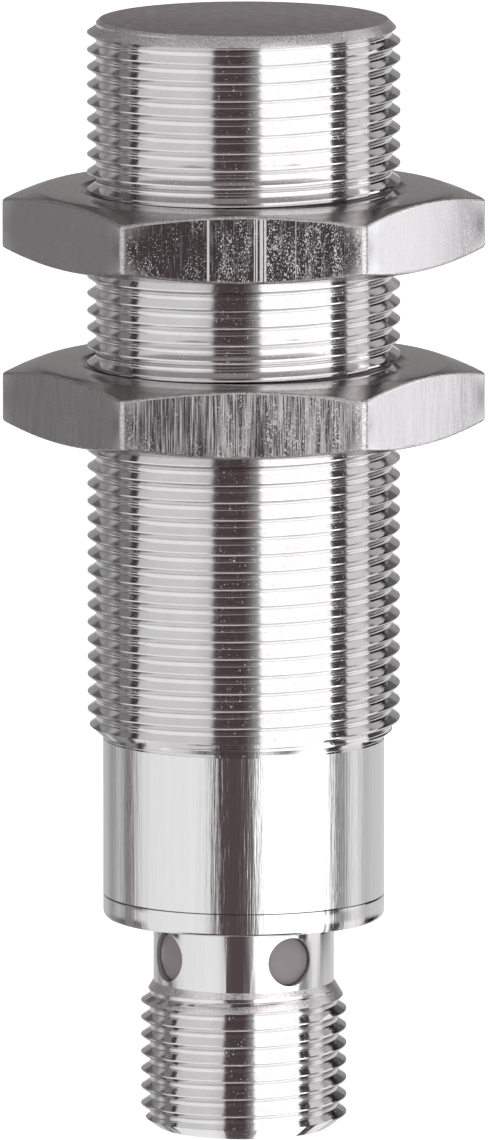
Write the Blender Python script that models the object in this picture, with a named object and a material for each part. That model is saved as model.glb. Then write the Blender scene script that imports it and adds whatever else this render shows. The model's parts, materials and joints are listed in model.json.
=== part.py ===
"""Inductive proximity sensor: an all-metal M18 x 1 barrel with two lock nuts, a neck with four
light windows and an M12 x 1 plug stub, with its coil, electronics and contacts inside.

The sensing face lies at the origin and looks along +Z. A depth is a distance down from that face,
towards the connector, so a point at depth d has Z = -d. The barrel is turned about the Z axis."""

import math

import bmesh
import bpy
from mathutils import Matrix, Vector

MM = 0.001

# Outside of the sensor, the driving dimensions
LENGTH = 64.0 * MM
FACE_RADIUS = 8.25 * MM
THREAD_RADIUS = 8.95 * MM  # over the crests of M18 x 1
THREAD_TOP = 0.7 * MM
THREAD_BOTTOM = 40.55 * MM
SHANK_TOP = 41.3 * MM
SHANK_RADIUS = 8.06 * MM
BARREL_END = 50.45 * MM
FLANGE_END = 51.8 * MM
FLANGE_CHAMFER = 0.35 * MM
NECK_RADIUS = 5.18 * MM
NECK_FILLET = 0.7 * MM
NECK_END = 55.45 * MM
PLUG_RADIUS = 5.9 * MM  # over the crests of M12 x 1
PLUG_THREAD_TOP = 56.7 * MM
PLUG_THREAD_BOTTOM = 63.3 * MM
RIM_RADIUS = 4.9 * MM

# Lock nuts
NUT_ACROSS_FLATS = 24.0 * MM
NUT_THICKNESS = 4.0 * MM
NUT_CHAMFER_RADIUS = 11.7 * MM
NUT_CHAMFER_ANGLE = math.radians(16.5)
NUT_BORE_RADIUS = THREAD_RADIUS + 0.1 * MM
NUT_COUNTERSINK = 0.4 * MM
FRONT_NUT_DEPTH = 11.74 * MM  # to the middle of the nut
REAR_NUT_DEPTH = 21.75 * MM

# Walls and bores
GAP = 0.1 * MM  # between pieces that touch on the real sensor
FACE_WALL = 0.8 * MM
BORE_RADIUS = 7.5 * MM
SPIGOT_TOP = 45.6 * MM
SPIGOT_RADIUS = BORE_RADIUS - GAP
SPIGOT_BORE = 6.2 * MM
SOCKET_RADIUS = 4.45 * MM
EDGE_BREAK = 0.1 * MM

# Light windows in the neck, and the light guide behind them
WINDOW_COUNT = 4
FIRST_WINDOW_ANGLE = math.radians(-58.5)  # about +Z from +X
WINDOW_DEPTH = 53.8 * MM
WINDOW_RADIUS = 1.4 * MM
WINDOW_RECESS = 0.35 * MM
GUIDE_TOP = 51.2 * MM
GUIDE_BOTTOM = 55.4 * MM
GUIDE_OUTER = SOCKET_RADIUS - GAP
GUIDE_INNER = 3.6 * MM
LEG_RADIUS = 0.42 * MM
LEG_CIRCLE = 3.98 * MM
LEG_TOP = 47.4 * MM

# Contact carrier and pins, and the key of the A coding
CARRIER_TOP = 48.0 * MM
CARRIER_FLANGE_END = 50.4 * MM
CARRIER_COLLAR_TOP = 55.5 * MM
SOCKET_FLOOR = 56.4 * MM
PIN_COUNT = 4
PIN_CIRCLE = 2.83 * MM
PIN_RADIUS = 0.5 * MM
PIN_TOP = 46.8 * MM
PIN_TIP = 62.8 * MM
KEY_ANGLE = math.radians(45.0)
KEY_WIDTH = 1.1 * MM
KEY_HEIGHT = 0.7 * MM
KEY_END = 62.4 * MM

# Seals
O_RING_SECTION = 0.4 * MM  # radius of the cord

# Coil and core behind the sensing face
CORE_TOP = FACE_WALL + 0.3 * MM
CORE_BOTTOM = 6.1 * MM
CORE_RADIUS = 6.9 * MM
LEAD_CIRCLE = 4.3 * MM
LEAD_RADIUS = 0.12 * MM
LEAD_HOLE = 0.4 * MM
HOLDER_FLOOR = 7.6 * MM
HOLDER_BOTTOM = 9.0 * MM

# Electronics
BOARD_THICKNESS = 1.0 * MM
BOARD_HALF_WIDTH = 6.0 * MM
BOARD_TONGUE = 4.9 * MM
BOARD_TAIL = 5.2 * MM
BOARD_TOP = 6.6 * MM
BOARD_SHOULDER = 9.2 * MM
BOARD_TAIL_TOP = 43.0 * MM
BOARD_BOTTOM = 44.4 * MM
SLEEVE_OUTER = 7.3 * MM
SLEEVE_INNER = 6.95 * MM
SLEEVE_BOTTOM = 44.5 * MM
POTTING_TOP = 38.5 * MM
POTTING_BOTTOM = 42.0 * MM
LED_BOARD_TOP = 45.9 * MM
LED_BOARD_THICKNESS = 0.6 * MM
LED_SIZE = (0.8 * MM, 1.6 * MM, 0.7 * MM)  # radial, tangential, axial
WIRE_RADIUS = 0.35 * MM

# Facets round a circle
OUTER_SEGMENTS = 48
INNER_SEGMENTS = 32
SMALL_SEGMENTS = 12


def clear_scene():
    for obj in list(bpy.data.objects):
        bpy.data.objects.remove(obj, do_unlink=True)


def material(name, colour, roughness, metallic=0.0):
    made = bpy.data.materials.new(name)
    made.use_nodes = True
    made.diffuse_color = (*colour, 1.0)
    shader = made.node_tree.nodes["Principled BSDF"]
    shader.inputs["Base Color"].default_value = (*colour, 1.0)
    shader.inputs["Roughness"].default_value = roughness
    shader.inputs["Metallic"].default_value = metallic
    return made


def add_object(name, bm, finish):
    """An object from a closed bmesh, with its faces turned outwards and its curved faces smooth."""
    bmesh.ops.recalc_face_normals(bm, faces=bm.faces)
    mesh = bpy.data.meshes.new(name)
    bm.to_mesh(mesh)
    bm.free()
    mesh.shade_smooth()
    mesh.set_sharp_from_angle(angle=math.radians(30))
    obj = bpy.data.objects.new(name, mesh)
    bpy.context.scene.collection.objects.link(obj)
    if finish:
        mesh.materials.append(finish)
    return obj


def turned_mesh(profile, segments):
    """A bmesh turned about Z from (radius, depth) points. A profile that starts and ends on the
    axis makes a solid of revolution; any other profile is closed into a ring."""
    bm = bmesh.new()
    verts = [bm.verts.new((radius, 0.0, -depth)) for radius, depth in profile]
    edges = [bm.edges.new(pair) for pair in zip(verts, verts[1:])]
    if profile[0][0] > 0.0:
        edges.append(bm.edges.new((verts[-1], verts[0])))
    bmesh.ops.spin(
        bm,
        geom=verts + edges,
        cent=(0.0, 0.0, 0.0),
        axis=(0.0, 0.0, 1.0),
        angle=2.0 * math.pi,
        steps=segments,
        use_merge=True,
    )
    bmesh.ops.remove_doubles(bm, verts=bm.verts, dist=0.001 * MM)
    return bm


def turned(name, profile, finish, segments=INNER_SEGMENTS):
    return add_object(name, turned_mesh(profile, segments), finish)


def torus_profile(ring_radius, section, depth, points=8):
    """The round section of an O-ring, as a closed profile."""
    steps = [2.0 * math.pi * (i + 0.5) / points for i in range(points)]
    return [(ring_radius + section * math.cos(a), depth + section * math.sin(a)) for a in steps]


def add_cylinder(bm, radius, start, end, segments=SMALL_SEGMENTS):
    """Adds a closed cylinder that runs from start to end."""
    start, end = Vector(start), Vector(end)
    along = end - start
    turn = along.to_track_quat("Z", "Y").to_matrix().to_4x4()
    bmesh.ops.create_cone(
        bm,
        cap_ends=True,
        segments=segments,
        radius1=radius,
        radius2=radius,
        depth=along.length,
        matrix=Matrix.Translation((start + end) / 2.0) @ turn,
    )


def add_block(bm, size, centre, angle=0.0):
    """Adds a closed block, turned by angle about Z."""
    place = Matrix.Translation(centre) @ Matrix.Rotation(angle, 4, "Z")
    bmesh.ops.create_cube(bm, size=1.0, matrix=place @ Matrix.Diagonal((*size, 1.0)))


def combine(target, operation, build):
    """Cuts, joins or intersects the target with a hidden helper that build(bm) draws."""
    bm = bmesh.new()
    build(bm)
    helper = add_object(f"{target.name}_{operation.lower()}_{len(target.modifiers)}", bm, None)
    helper.hide_render = True
    helper.display_type = "WIRE"
    modifier = target.modifiers.new(operation.title(), "BOOLEAN")
    modifier.operation = operation
    modifier.solver = "EXACT"
    modifier.object = helper


def around(radius, angle, depth):
    return Vector((radius * math.cos(angle), radius * math.sin(angle), -depth))


def window_angles():
    return [FIRST_WINDOW_ANGLE + i * 2.0 * math.pi / WINDOW_COUNT for i in range(WINDOW_COUNT)]


def pin_angles():
    return [i * 2.0 * math.pi / PIN_COUNT for i in range(PIN_COUNT)]


def make_barrel(finish):
    profile = [
        (0.0, 0.0),
        (FACE_RADIUS, 0.0),
        (THREAD_RADIUS, THREAD_TOP),
        (THREAD_RADIUS, THREAD_BOTTOM),
        (SHANK_RADIUS, SHANK_TOP),
        (SHANK_RADIUS, BARREL_END),
        (BORE_RADIUS, BARREL_END),
        (BORE_RADIUS, FACE_WALL),
        (0.0, FACE_WALL),
    ]
    turned("housing_barrel", profile, finish, OUTER_SEGMENTS)


def make_nut(name, depth, finish):
    """A hexagonal nut with chamfered corners and a countersunk bore, flats facing +Y and -Y. Its
    origin is in its middle, on the axis that it slides along."""
    half = NUT_THICKNESS / 2.0
    corner = NUT_ACROSS_FLATS / math.sqrt(3.0)
    beyond = corner + 0.3 * MM
    drop = (beyond - NUT_CHAMFER_RADIUS) * math.tan(NUT_CHAMFER_ANGLE)
    mouth = NUT_BORE_RADIUS + NUT_COUNTERSINK
    profile = [
        (mouth, -half),
        (NUT_CHAMFER_RADIUS, -half),
        (beyond, drop - half),
        (beyond, half - drop),
        (NUT_CHAMFER_RADIUS, half),
        (mouth, half),
        (NUT_BORE_RADIUS, half - NUT_COUNTERSINK),
        (NUT_BORE_RADIUS, NUT_COUNTERSINK - half),
    ]
    nut = turned(name, profile, finish, OUTER_SEGMENTS)

    def hexagon(bm):
        add_cylinder(bm, corner, (0.0, 0.0, -2.0 * half), (0.0, 0.0, 2.0 * half), segments=6)
        bmesh.ops.rotate(bm, verts=bm.verts, matrix=Matrix.Rotation(hexagon_turn(bm), 3, "Z"))

    combine(nut, "INTERSECT", hexagon)
    nut.location.z = -depth
    nut.modifiers[0].object.location.z = -depth


def hexagon_turn(bm):
    """The turn about Z that brings a corner of a hexagonal prism onto the X axis."""
    corner = bm.verts[:][0].co
    return -math.atan2(corner.y, corner.x)


def neck_fillet(steps=3):
    """The hollow curve from the underside of the flange down to the neck."""
    turns = [0.5 * math.pi * i / steps for i in range(steps + 1)]
    out, down = NECK_RADIUS + NECK_FILLET, FLANGE_END + NECK_FILLET
    return [(out - NECK_FILLET * math.sin(t), down - NECK_FILLET * math.cos(t)) for t in turns]


def make_connector_shell(finish):
    """Spigot, flange, neck with four windows, and plug thread with its coding key, in one piece."""
    groove = SPIGOT_RADIUS - 2.0 * O_RING_SECTION
    flange_top = BARREL_END + GAP
    profile = [
        (SPIGOT_BORE, SPIGOT_TOP),
        (SPIGOT_RADIUS - 2.0 * EDGE_BREAK, SPIGOT_TOP),
        (SPIGOT_RADIUS, SPIGOT_TOP + 2.0 * EDGE_BREAK),
        (SPIGOT_RADIUS, 47.2 * MM),
        (groove, 47.2 * MM),
        (groove, 48.6 * MM),
        (SPIGOT_RADIUS, 48.6 * MM),
        (SPIGOT_RADIUS, flange_top),
        (SHANK_RADIUS, flange_top),
        (SHANK_RADIUS, FLANGE_END - FLANGE_CHAMFER),
        (SHANK_RADIUS - FLANGE_CHAMFER, FLANGE_END),
        *neck_fillet(),
        (NECK_RADIUS, NECK_END),
        (PLUG_RADIUS, PLUG_THREAD_TOP),
        (PLUG_RADIUS, PLUG_THREAD_BOTTOM),
        (RIM_RADIUS, LENGTH),
        (SOCKET_RADIUS, LENGTH),
        (SOCKET_RADIUS, flange_top),
        (SPIGOT_BORE, flange_top),
    ]
    shell = turned("connector_shell", profile, finish, OUTER_SEGMENTS)
    for angle in window_angles()[:2]:

        def window_pair(bm, angle=angle):
            reach = 2.0 * NECK_RADIUS
            ends = around(reach, angle, WINDOW_DEPTH), around(-reach, angle, WINDOW_DEPTH)
            add_cylinder(bm, WINDOW_RADIUS, *ends, segments=16)

        combine(shell, "DIFFERENCE", window_pair)

    def coding_key(bm):
        inner, outer = SOCKET_RADIUS - KEY_HEIGHT, SOCKET_RADIUS + EDGE_BREAK
        top = SOCKET_FLOOR + GAP
        middle = around((inner + outer) / 2.0, KEY_ANGLE, (top + KEY_END) / 2.0)
        add_block(bm, (outer - inner, KEY_WIDTH, KEY_END - top), middle, KEY_ANGLE)

    combine(shell, "UNION", coding_key)


def make_light_guide(finish):
    """A clear ring in the neck, with a lens in each window and a leg up to each LED."""
    profile = [
        (GUIDE_INNER, GUIDE_TOP),
        (GUIDE_OUTER, GUIDE_TOP),
        (GUIDE_OUTER, GUIDE_BOTTOM),
        (GUIDE_INNER, GUIDE_BOTTOM),
    ]
    guide = turned("light_guide", profile, finish, INNER_SEGMENTS)
    lens_end = NECK_RADIUS - WINDOW_RECESS
    lens_start = (GUIDE_INNER + GUIDE_OUTER) / 2.0
    leg_bottom = GUIDE_TOP + 1.0 * MM

    def lenses(bm):
        for angle in window_angles():
            ends = around(lens_start, angle, WINDOW_DEPTH), around(lens_end, angle, WINDOW_DEPTH)
            add_cylinder(bm, WINDOW_RADIUS - GAP, *ends, segments=16)

    def legs(bm):
        for angle in window_angles():
            ends = around(LEG_CIRCLE, angle, leg_bottom), around(LEG_CIRCLE, angle, LEG_TOP)
            add_cylinder(bm, LEG_RADIUS, *ends, segments=8)

    combine(guide, "UNION", lenses)
    combine(guide, "UNION", legs)


def make_contact_carrier(finish):
    """The insulator that holds the pins, with its seal groove."""
    groove = SPIGOT_BORE - GAP - 2.0 * O_RING_SECTION
    profile = [
        (0.0, CARRIER_TOP),
        (SPIGOT_BORE - GAP, CARRIER_TOP),
        (SPIGOT_BORE - GAP, 48.6 * MM),
        (groove, 48.6 * MM),
        (groove, 49.6 * MM),
        (SPIGOT_BORE - GAP, 49.6 * MM),
        (SPIGOT_BORE - GAP, CARRIER_FLANGE_END),
        (GUIDE_INNER - GAP, CARRIER_FLANGE_END),
        (GUIDE_INNER - GAP, CARRIER_COLLAR_TOP),
        (SOCKET_RADIUS - GAP, CARRIER_COLLAR_TOP),
        (SOCKET_RADIUS - GAP, SOCKET_FLOOR),
        (0.0, SOCKET_FLOOR),
    ]
    carrier = turned("contact_carrier", profile, finish, INNER_SEGMENTS)
    beyond = 1.0 * MM

    def pin_holes(bm):
        for angle in pin_angles():
            top = around(PIN_CIRCLE, angle, CARRIER_TOP - beyond)
            add_cylinder(bm, PIN_RADIUS + GAP / 2.0, top, around(PIN_CIRCLE, angle, SOCKET_FLOOR + beyond))

    def leg_holes(bm):
        for angle in window_angles():
            top = around(LEG_CIRCLE, angle, CARRIER_TOP - beyond)
            bottom = around(LEG_CIRCLE, angle, CARRIER_FLANGE_END + beyond / 2.0)
            add_cylinder(bm, LEG_RADIUS + GAP, top, bottom, segments=8)

    combine(carrier, "DIFFERENCE", pin_holes)
    combine(carrier, "DIFFERENCE", leg_holes)


def make_pins(finish):
    shoulder = CARRIER_TOP - GAP
    shoulder_radius = 1.4 * PIN_RADIUS
    profile = [
        (0.0, PIN_TOP),
        (shoulder_radius, PIN_TOP),
        (shoulder_radius, shoulder),
        (PIN_RADIUS, shoulder),
        (PIN_RADIUS, PIN_TIP - 0.6 * MM),
        (0.6 * PIN_RADIUS, PIN_TIP),
        (0.0, PIN_TIP),
    ]
    for number, angle in enumerate(pin_angles(), start=1):
        pin = turned(f"contact_pin_{number}", profile, finish, SMALL_SEGMENTS)
        pin.location = around(PIN_CIRCLE, angle, 0.0)


def make_seals(finish):
    carrier_ring = SPIGOT_BORE - 0.03 * MM - O_RING_SECTION
    turned("carrier_o_ring", torus_profile(carrier_ring, O_RING_SECTION, 49.1 * MM), finish)
    housing_ring = BORE_RADIUS - 0.05 * MM - O_RING_SECTION
    turned("housing_o_ring", torus_profile(housing_ring, O_RING_SECTION, 47.9 * MM), finish)


def lead_holes(bm):
    """Two small holes through core, bobbin and holder for the ends of the coil's wire."""
    for side in (1.0, -1.0):
        top = (0.0, side * LEAD_CIRCLE, -3.6 * MM)
        add_cylinder(bm, LEAD_HOLE, top, (0.0, side * LEAD_CIRCLE, -HOLDER_BOTTOM), segments=8)


def make_coil(ferrite, plastic, copper, brass):
    """Pot core, bobbin and winding, inside a screening ring and behind the face."""
    core_floor = CORE_BOTTOM - 1.4 * MM
    post, groove = 2.4 * MM, 5.6 * MM
    core_profile = [
        (0.9 * MM, CORE_TOP),
        (post, CORE_TOP),
        (post, core_floor),
        (groove, core_floor),
        (groove, CORE_TOP),
        (CORE_RADIUS, CORE_TOP),
        (CORE_RADIUS, CORE_BOTTOM),
        (0.9 * MM, CORE_BOTTOM),
    ]
    core = turned("ferrite_core", core_profile, ferrite)
    combine(core, "DIFFERENCE", lead_holes)

    flange = 0.35 * MM
    top, bottom = CORE_TOP + GAP, core_floor - 2.0 * GAP
    inner, tube, outer = post + 1.5 * GAP, 3.0 * MM, groove - 1.5 * GAP
    bobbin_profile = [
        (inner, top),
        (outer, top),
        (outer, top + flange),
        (tube, top + flange),
        (tube, bottom - flange),
        (outer, bottom - flange),
        (outer, bottom),
        (inner, bottom),
    ]
    bobbin = turned("coil_bobbin", bobbin_profile, plastic)
    combine(bobbin, "DIFFERENCE", lead_holes)

    wire_top, wire_bottom = top + flange + GAP, bottom - flange - GAP
    winding = [
        (tube + GAP, wire_top),
        (outer - 2.0 * GAP, wire_top),
        (outer - 2.0 * GAP, wire_bottom),
        (tube + GAP, wire_bottom),
    ]
    turned("coil_winding", winding, copper)

    screen_inner, screen_outer = CORE_RADIUS + GAP, BORE_RADIUS - 2.0 * GAP
    screen = [
        (screen_inner, CORE_TOP),
        (screen_outer, CORE_TOP),
        (screen_outer, CORE_BOTTOM),
        (screen_inner, CORE_BOTTOM),
    ]
    turned("screening_ring", screen, brass)
    return wire_bottom


def make_core_holder(finish):
    """A shallow cup behind the core, with a slot that grips the end of the circuit board."""
    outer = BORE_RADIUS - 2.0 * GAP
    inner = outer - 0.6 * MM
    profile = [
        (0.0, CORE_BOTTOM + GAP),
        (outer, CORE_BOTTOM + GAP),
        (outer, HOLDER_BOTTOM),
        (inner, HOLDER_BOTTOM),
        (inner, HOLDER_FLOOR),
        (0.0, HOLDER_FLOOR),
    ]
    holder = turned("core_holder", profile, finish)

    def slot(bm):
        size = (2.0 * (BOARD_TONGUE + GAP), BOARD_THICKNESS + 2.0 * GAP, 4.0 * MM)
        add_block(bm, size, (0.0, 0.0, -HOLDER_FLOOR))

    combine(holder, "DIFFERENCE", slot)
    combine(holder, "DIFFERENCE", lead_holes)


def make_wire(name, points, radius, finish):
    """A round wire along a smooth curve through the given points, with flat ends."""
    curve = bpy.data.curves.new(name, "CURVE")
    curve.dimensions = "3D"
    spline = curve.splines.new("POLY")
    route = smooth_route([Vector(p) for p in points])
    spline.points.add(len(route) - 1)
    for spot, place in zip(spline.points, route):
        spot.co = (*place, 1.0)
    curve.bevel_depth = radius
    curve.bevel_resolution = 1
    curve.use_fill_caps = True
    curve.materials.append(finish)
    obj = bpy.data.objects.new(name, curve)
    bpy.context.scene.collection.objects.link(obj)


def smooth_route(points, steps=3):
    """Points along the Catmull-Rom curve through a route."""
    padded = [2 * points[0] - points[1], *points, 2 * points[-1] - points[-2]]
    route = []
    for a, b, c, d in zip(padded, padded[1:], padded[2:], padded[3:]):
        for i in range(steps):
            t = i / steps
            route.append(
                0.5 * ((2 * b) + (c - a) * t + (2 * a - 5 * b + 4 * c - d) * t**2)
                + 0.5 * (3 * b - a - 3 * c + d) * t**3
            )
    return [*route, points[-1]]


def make_coil_leads(finish, start_depth):
    surface = BOARD_THICKNESS / 2.0 + LEAD_RADIUS + GAP / 2.0
    for number, side in enumerate((1.0, -1.0), start=1):
        route = [
            (0.0, side * LEAD_CIRCLE, -start_depth - GAP / 2.0),
            (0.0, side * LEAD_CIRCLE, -HOLDER_FLOOR),
            (0.0, side * 3.6 * MM, -9.4 * MM),
            (0.0, side * 1.6 * MM, -11.0 * MM),
            (0.0, side * surface, -12.4 * MM),
        ]
        make_wire(f"coil_lead_{number}", route, LEAD_RADIUS, finish)


def make_circuit_board(finish):
    """A stepped strip in the XZ plane, from the core holder to the connector."""
    outline = [
        (BOARD_TONGUE, BOARD_TOP),
        (BOARD_TONGUE, BOARD_SHOULDER),
        (BOARD_HALF_WIDTH, BOARD_SHOULDER),
        (BOARD_HALF_WIDTH, BOARD_TAIL_TOP),
        (BOARD_TAIL, BOARD_TAIL_TOP),
        (BOARD_TAIL, BOARD_BOTTOM),
    ]
    outline += [(-x, depth) for x, depth in reversed(outline)]
    bm = bmesh.new()
    front = [bm.verts.new((x, -BOARD_THICKNESS / 2.0, -depth)) for x, depth in outline]
    face = bm.faces.new(front)
    moved = bmesh.ops.extrude_face_region(bm, geom=[face])["geom"]
    back = [item for item in moved if isinstance(item, bmesh.types.BMVert)]
    bmesh.ops.translate(bm, verts=back, vec=(0.0, BOARD_THICKNESS, 0.0))
    add_object("circuit_board", bm, finish)


def make_chip(name, x, depth, side, size, finish):
    """A soldered part: size is its width, length along the board, and height off the board."""
    width, length, height = size
    y = side * (BOARD_THICKNESS / 2.0 + GAP / 2.0 + height / 2.0)
    bm = bmesh.new()
    add_block(bm, (width, height, length), (x, y, -depth))
    bmesh.ops.bevel(
        bm, geom=bm.edges[:], offset=0.08 * MM, segments=1, affect="EDGES", profile=0.5
    )
    add_object(name, bm, finish)


def make_electronics(board, resin, ceramic):
    make_circuit_board(board)
    chips = [
        # name, x, depth, side of the board, (width, length, height), finish
        ("sensor_ic", 0.0, 18.5, 1, (5.0, 6.2, 1.5), resin),
        ("voltage_regulator", -2.2, 26.0, 1, (3.0, 3.0, 1.1), resin),
        ("polarity_diode", 2.6, 31.5, 1, (2.6, 4.2, 1.8), resin),
        ("output_transistor", 0.0, 29.0, -1, (4.4, 5.0, 1.6), resin),
        ("capacitor_1", 2.6, 25.0, 1, (1.6, 3.2, 1.3), ceramic),
        ("capacitor_2", -2.8, 17.0, -1, (1.25, 2.0, 0.9), ceramic),
        ("capacitor_3", 0.0, 35.6, -1, (2.5, 3.2, 1.6), ceramic),
        ("resistor_1", -0.6, 17.0, -1, (1.25, 2.0, 0.55), resin),
        ("resistor_2", 1.6, 17.0, -1, (1.25, 2.0, 0.55), resin),
        ("resistor_3", 1.2, 22.0, -1, (1.6, 3.2, 0.6), resin),
    ]
    for name, x, depth, side, size, finish in chips:
        make_chip(name, x * MM, depth * MM, side, [s * MM for s in size], finish)


def make_sleeve_and_potting(film, resin):
    sleeve = [
        (SLEEVE_INNER, BOARD_SHOULDER),
        (SLEEVE_OUTER, BOARD_SHOULDER),
        (SLEEVE_OUTER, SLEEVE_BOTTOM),
        (SLEEVE_INNER, SLEEVE_BOTTOM),
    ]
    turned("board_sleeve", sleeve, film)
    plug_profile = [
        (0.0, POTTING_TOP),
        (SLEEVE_INNER - GAP, POTTING_TOP),
        (SLEEVE_INNER - GAP, POTTING_BOTTOM),
        (0.0, POTTING_BOTTOM),
    ]
    plug = turned("potting_plug", plug_profile, resin)

    def slot(bm):
        size = (2.0 * (BOARD_HALF_WIDTH + GAP), BOARD_THICKNESS + 2.0 * GAP, 10.0 * MM)
        add_block(bm, size, (0.0, 0.0, -(POTTING_TOP + POTTING_BOTTOM) / 2.0))

    combine(plug, "DIFFERENCE", slot)


def make_led_board(board, lens):
    """A ring-shaped board above the contact carrier, with an LED over each leg of the guide."""
    bottom = LED_BOARD_TOP + LED_BOARD_THICKNESS
    inner, outer = 3.7 * MM, SPIGOT_BORE - 2.0 * GAP
    ring = [(inner, LED_BOARD_TOP), (outer, LED_BOARD_TOP), (outer, bottom), (inner, bottom)]
    turned("led_board", ring, board)
    centre = bottom + GAP / 2.0 + LED_SIZE[2] / 2.0
    for number, angle in enumerate(window_angles(), start=1):
        bm = bmesh.new()
        add_block(bm, LED_SIZE, around(inner + LED_SIZE[0], angle, centre), angle)
        add_object(f"led_{number}", bm, lens)


def make_pin_wires(finishes):
    """An insulated wire from each pin to the tail of the circuit board."""
    surface = BOARD_THICKNESS / 2.0 + WIRE_RADIUS + GAP
    sides = (1.0, 1.0, -1.0, -1.0)
    for number, (angle, side, finish) in enumerate(zip(pin_angles(), sides, finishes), start=1):
        start = around(PIN_CIRCLE, angle, PIN_TOP - GAP)
        route = [
            start,
            (start.x, 0.8 * start.y + 0.2 * side * surface, -46.1 * MM),
            (start.x, 0.3 * start.y + 0.7 * side * surface, -45.3 * MM),
            (start.x, side * surface, -44.5 * MM),
            (start.x, side * surface, -42.6 * MM),
        ]
        make_wire(f"pin_wire_{number}", route, WIRE_RADIUS, finish)


def main():
    clear_scene()
    steel = material("stainless_steel", (0.62, 0.60, 0.59), 0.22, 1.0)
    nut_steel = material("nut_steel", (0.58, 0.56, 0.55), 0.3, 1.0)
    gold = material("gold_plating", (0.83, 0.62, 0.28), 0.25, 1.0)
    brass = material("screen_brass", (0.72, 0.55, 0.27), 0.35, 1.0)
    copper = material("enamelled_copper", (0.62, 0.27, 0.12), 0.35, 1.0)
    ferrite = material("ferrite", (0.06, 0.06, 0.065), 0.55)
    black_plastic = material("black_plastic", (0.03, 0.03, 0.032), 0.5)
    white_plastic = material("white_plastic", (0.75, 0.73, 0.68), 0.5)
    clear_plastic = material("frosted_window", (0.42, 0.39, 0.40), 0.45)
    rubber = material("seal_rubber", (0.02, 0.02, 0.02), 0.8)
    board = material("board_laminate", (0.03, 0.18, 0.08), 0.4)
    film = material("insulating_film", (0.70, 0.58, 0.30), 0.35)
    chip_resin = material("chip_resin", (0.04, 0.04, 0.045), 0.5)
    ceramic = material("capacitor_ceramic", (0.48, 0.33, 0.20), 0.5)
    potting = material("potting_resin", (0.05, 0.05, 0.06), 0.45)
    led_lens = material("led_lens", (0.80, 0.68, 0.25), 0.3)
    wire_colours = {
        "wire_brown": (0.20, 0.09, 0.04),
        "wire_white": (0.80, 0.80, 0.78),
        "wire_blue": (0.05, 0.16, 0.50),
        "wire_black": (0.02, 0.02, 0.02),
    }
    wires = [material(name, colour, 0.5) for name, colour in wire_colours.items()]

    make_barrel(steel)
    make_nut("front_lock_nut", FRONT_NUT_DEPTH, nut_steel)
    make_nut("rear_lock_nut", REAR_NUT_DEPTH, nut_steel)
    make_connector_shell(steel)
    make_light_guide(clear_plastic)
    make_contact_carrier(black_plastic)
    make_pins(gold)
    make_seals(rubber)
    winding_bottom = make_coil(ferrite, white_plastic, copper, brass)
    make_coil_leads(copper, winding_bottom)
    make_core_holder(white_plastic)
    make_electronics(board, chip_resin, ceramic)
    make_sleeve_and_potting(film, potting)
    make_led_board(board, led_lens)
    make_pin_wires(wires)


main()
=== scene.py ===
"""Looks of the inductive proximity sensor: helical threads, worked steel, and a studio to see it in."""

import json
import math

import bmesh
import bpy
import numpy as np
from mathutils import Matrix, Vector, noise


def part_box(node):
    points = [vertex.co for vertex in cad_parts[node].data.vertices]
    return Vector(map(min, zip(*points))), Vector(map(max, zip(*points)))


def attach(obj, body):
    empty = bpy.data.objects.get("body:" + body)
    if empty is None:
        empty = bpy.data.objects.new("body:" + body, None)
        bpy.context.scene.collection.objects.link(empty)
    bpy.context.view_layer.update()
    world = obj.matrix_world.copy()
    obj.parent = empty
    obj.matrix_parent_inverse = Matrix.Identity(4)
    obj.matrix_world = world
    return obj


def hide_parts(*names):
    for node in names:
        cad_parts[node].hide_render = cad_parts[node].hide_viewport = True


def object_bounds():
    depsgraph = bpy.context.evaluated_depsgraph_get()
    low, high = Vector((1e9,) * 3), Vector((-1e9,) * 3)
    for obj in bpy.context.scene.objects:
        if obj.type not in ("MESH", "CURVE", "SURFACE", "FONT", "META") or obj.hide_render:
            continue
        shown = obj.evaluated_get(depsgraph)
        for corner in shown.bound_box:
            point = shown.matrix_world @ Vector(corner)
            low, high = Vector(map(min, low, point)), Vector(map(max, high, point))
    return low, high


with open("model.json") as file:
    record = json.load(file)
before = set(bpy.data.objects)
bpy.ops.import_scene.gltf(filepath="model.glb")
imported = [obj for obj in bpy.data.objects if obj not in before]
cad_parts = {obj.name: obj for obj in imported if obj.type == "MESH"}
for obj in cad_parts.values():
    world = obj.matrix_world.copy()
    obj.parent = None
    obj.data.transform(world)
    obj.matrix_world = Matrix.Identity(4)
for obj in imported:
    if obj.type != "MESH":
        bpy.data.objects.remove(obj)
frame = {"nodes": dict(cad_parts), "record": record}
cad_low, cad_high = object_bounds()

MM = 0.001
MERGE_DISTANCE = 0.0005 * MM
SENSOR = "sensor_body"

# Places and sizes read from the frame
BARREL_LOW, BARREL_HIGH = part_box("housing_barrel")
SHELL_LOW, SHELL_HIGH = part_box("connector_shell")
CARRIER_LOW, CARRIER_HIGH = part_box("contact_carrier")
THREAD_RADIUS = BARREL_HIGH.x
SHANK_RADIUS = SHELL_HIGH.x
LENGTH = -SHELL_LOW.z
BARREL_END = -BARREL_LOW.z
FRONT_NUT_DEPTH = -sum(corner.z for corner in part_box("front_lock_nut")) / 2.0
REAR_NUT_DEPTH = -sum(corner.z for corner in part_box("rear_lock_nut")) / 2.0

# Threads, both right-handed. A drop is how far below Z = 0 a crest lies on the +X side
PITCH = 1.0 * MM
THREAD_DEPTH = 0.52 * MM
BARREL_THREAD_DROP = 0.25 * MM
PLUG_THREAD_DROP = 0.18 * MM
THREAD_FIT = 0.06 * MM  # how much larger the nuts' thread is, in radius
PLUG_RADIUS = 5.9 * MM

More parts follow.
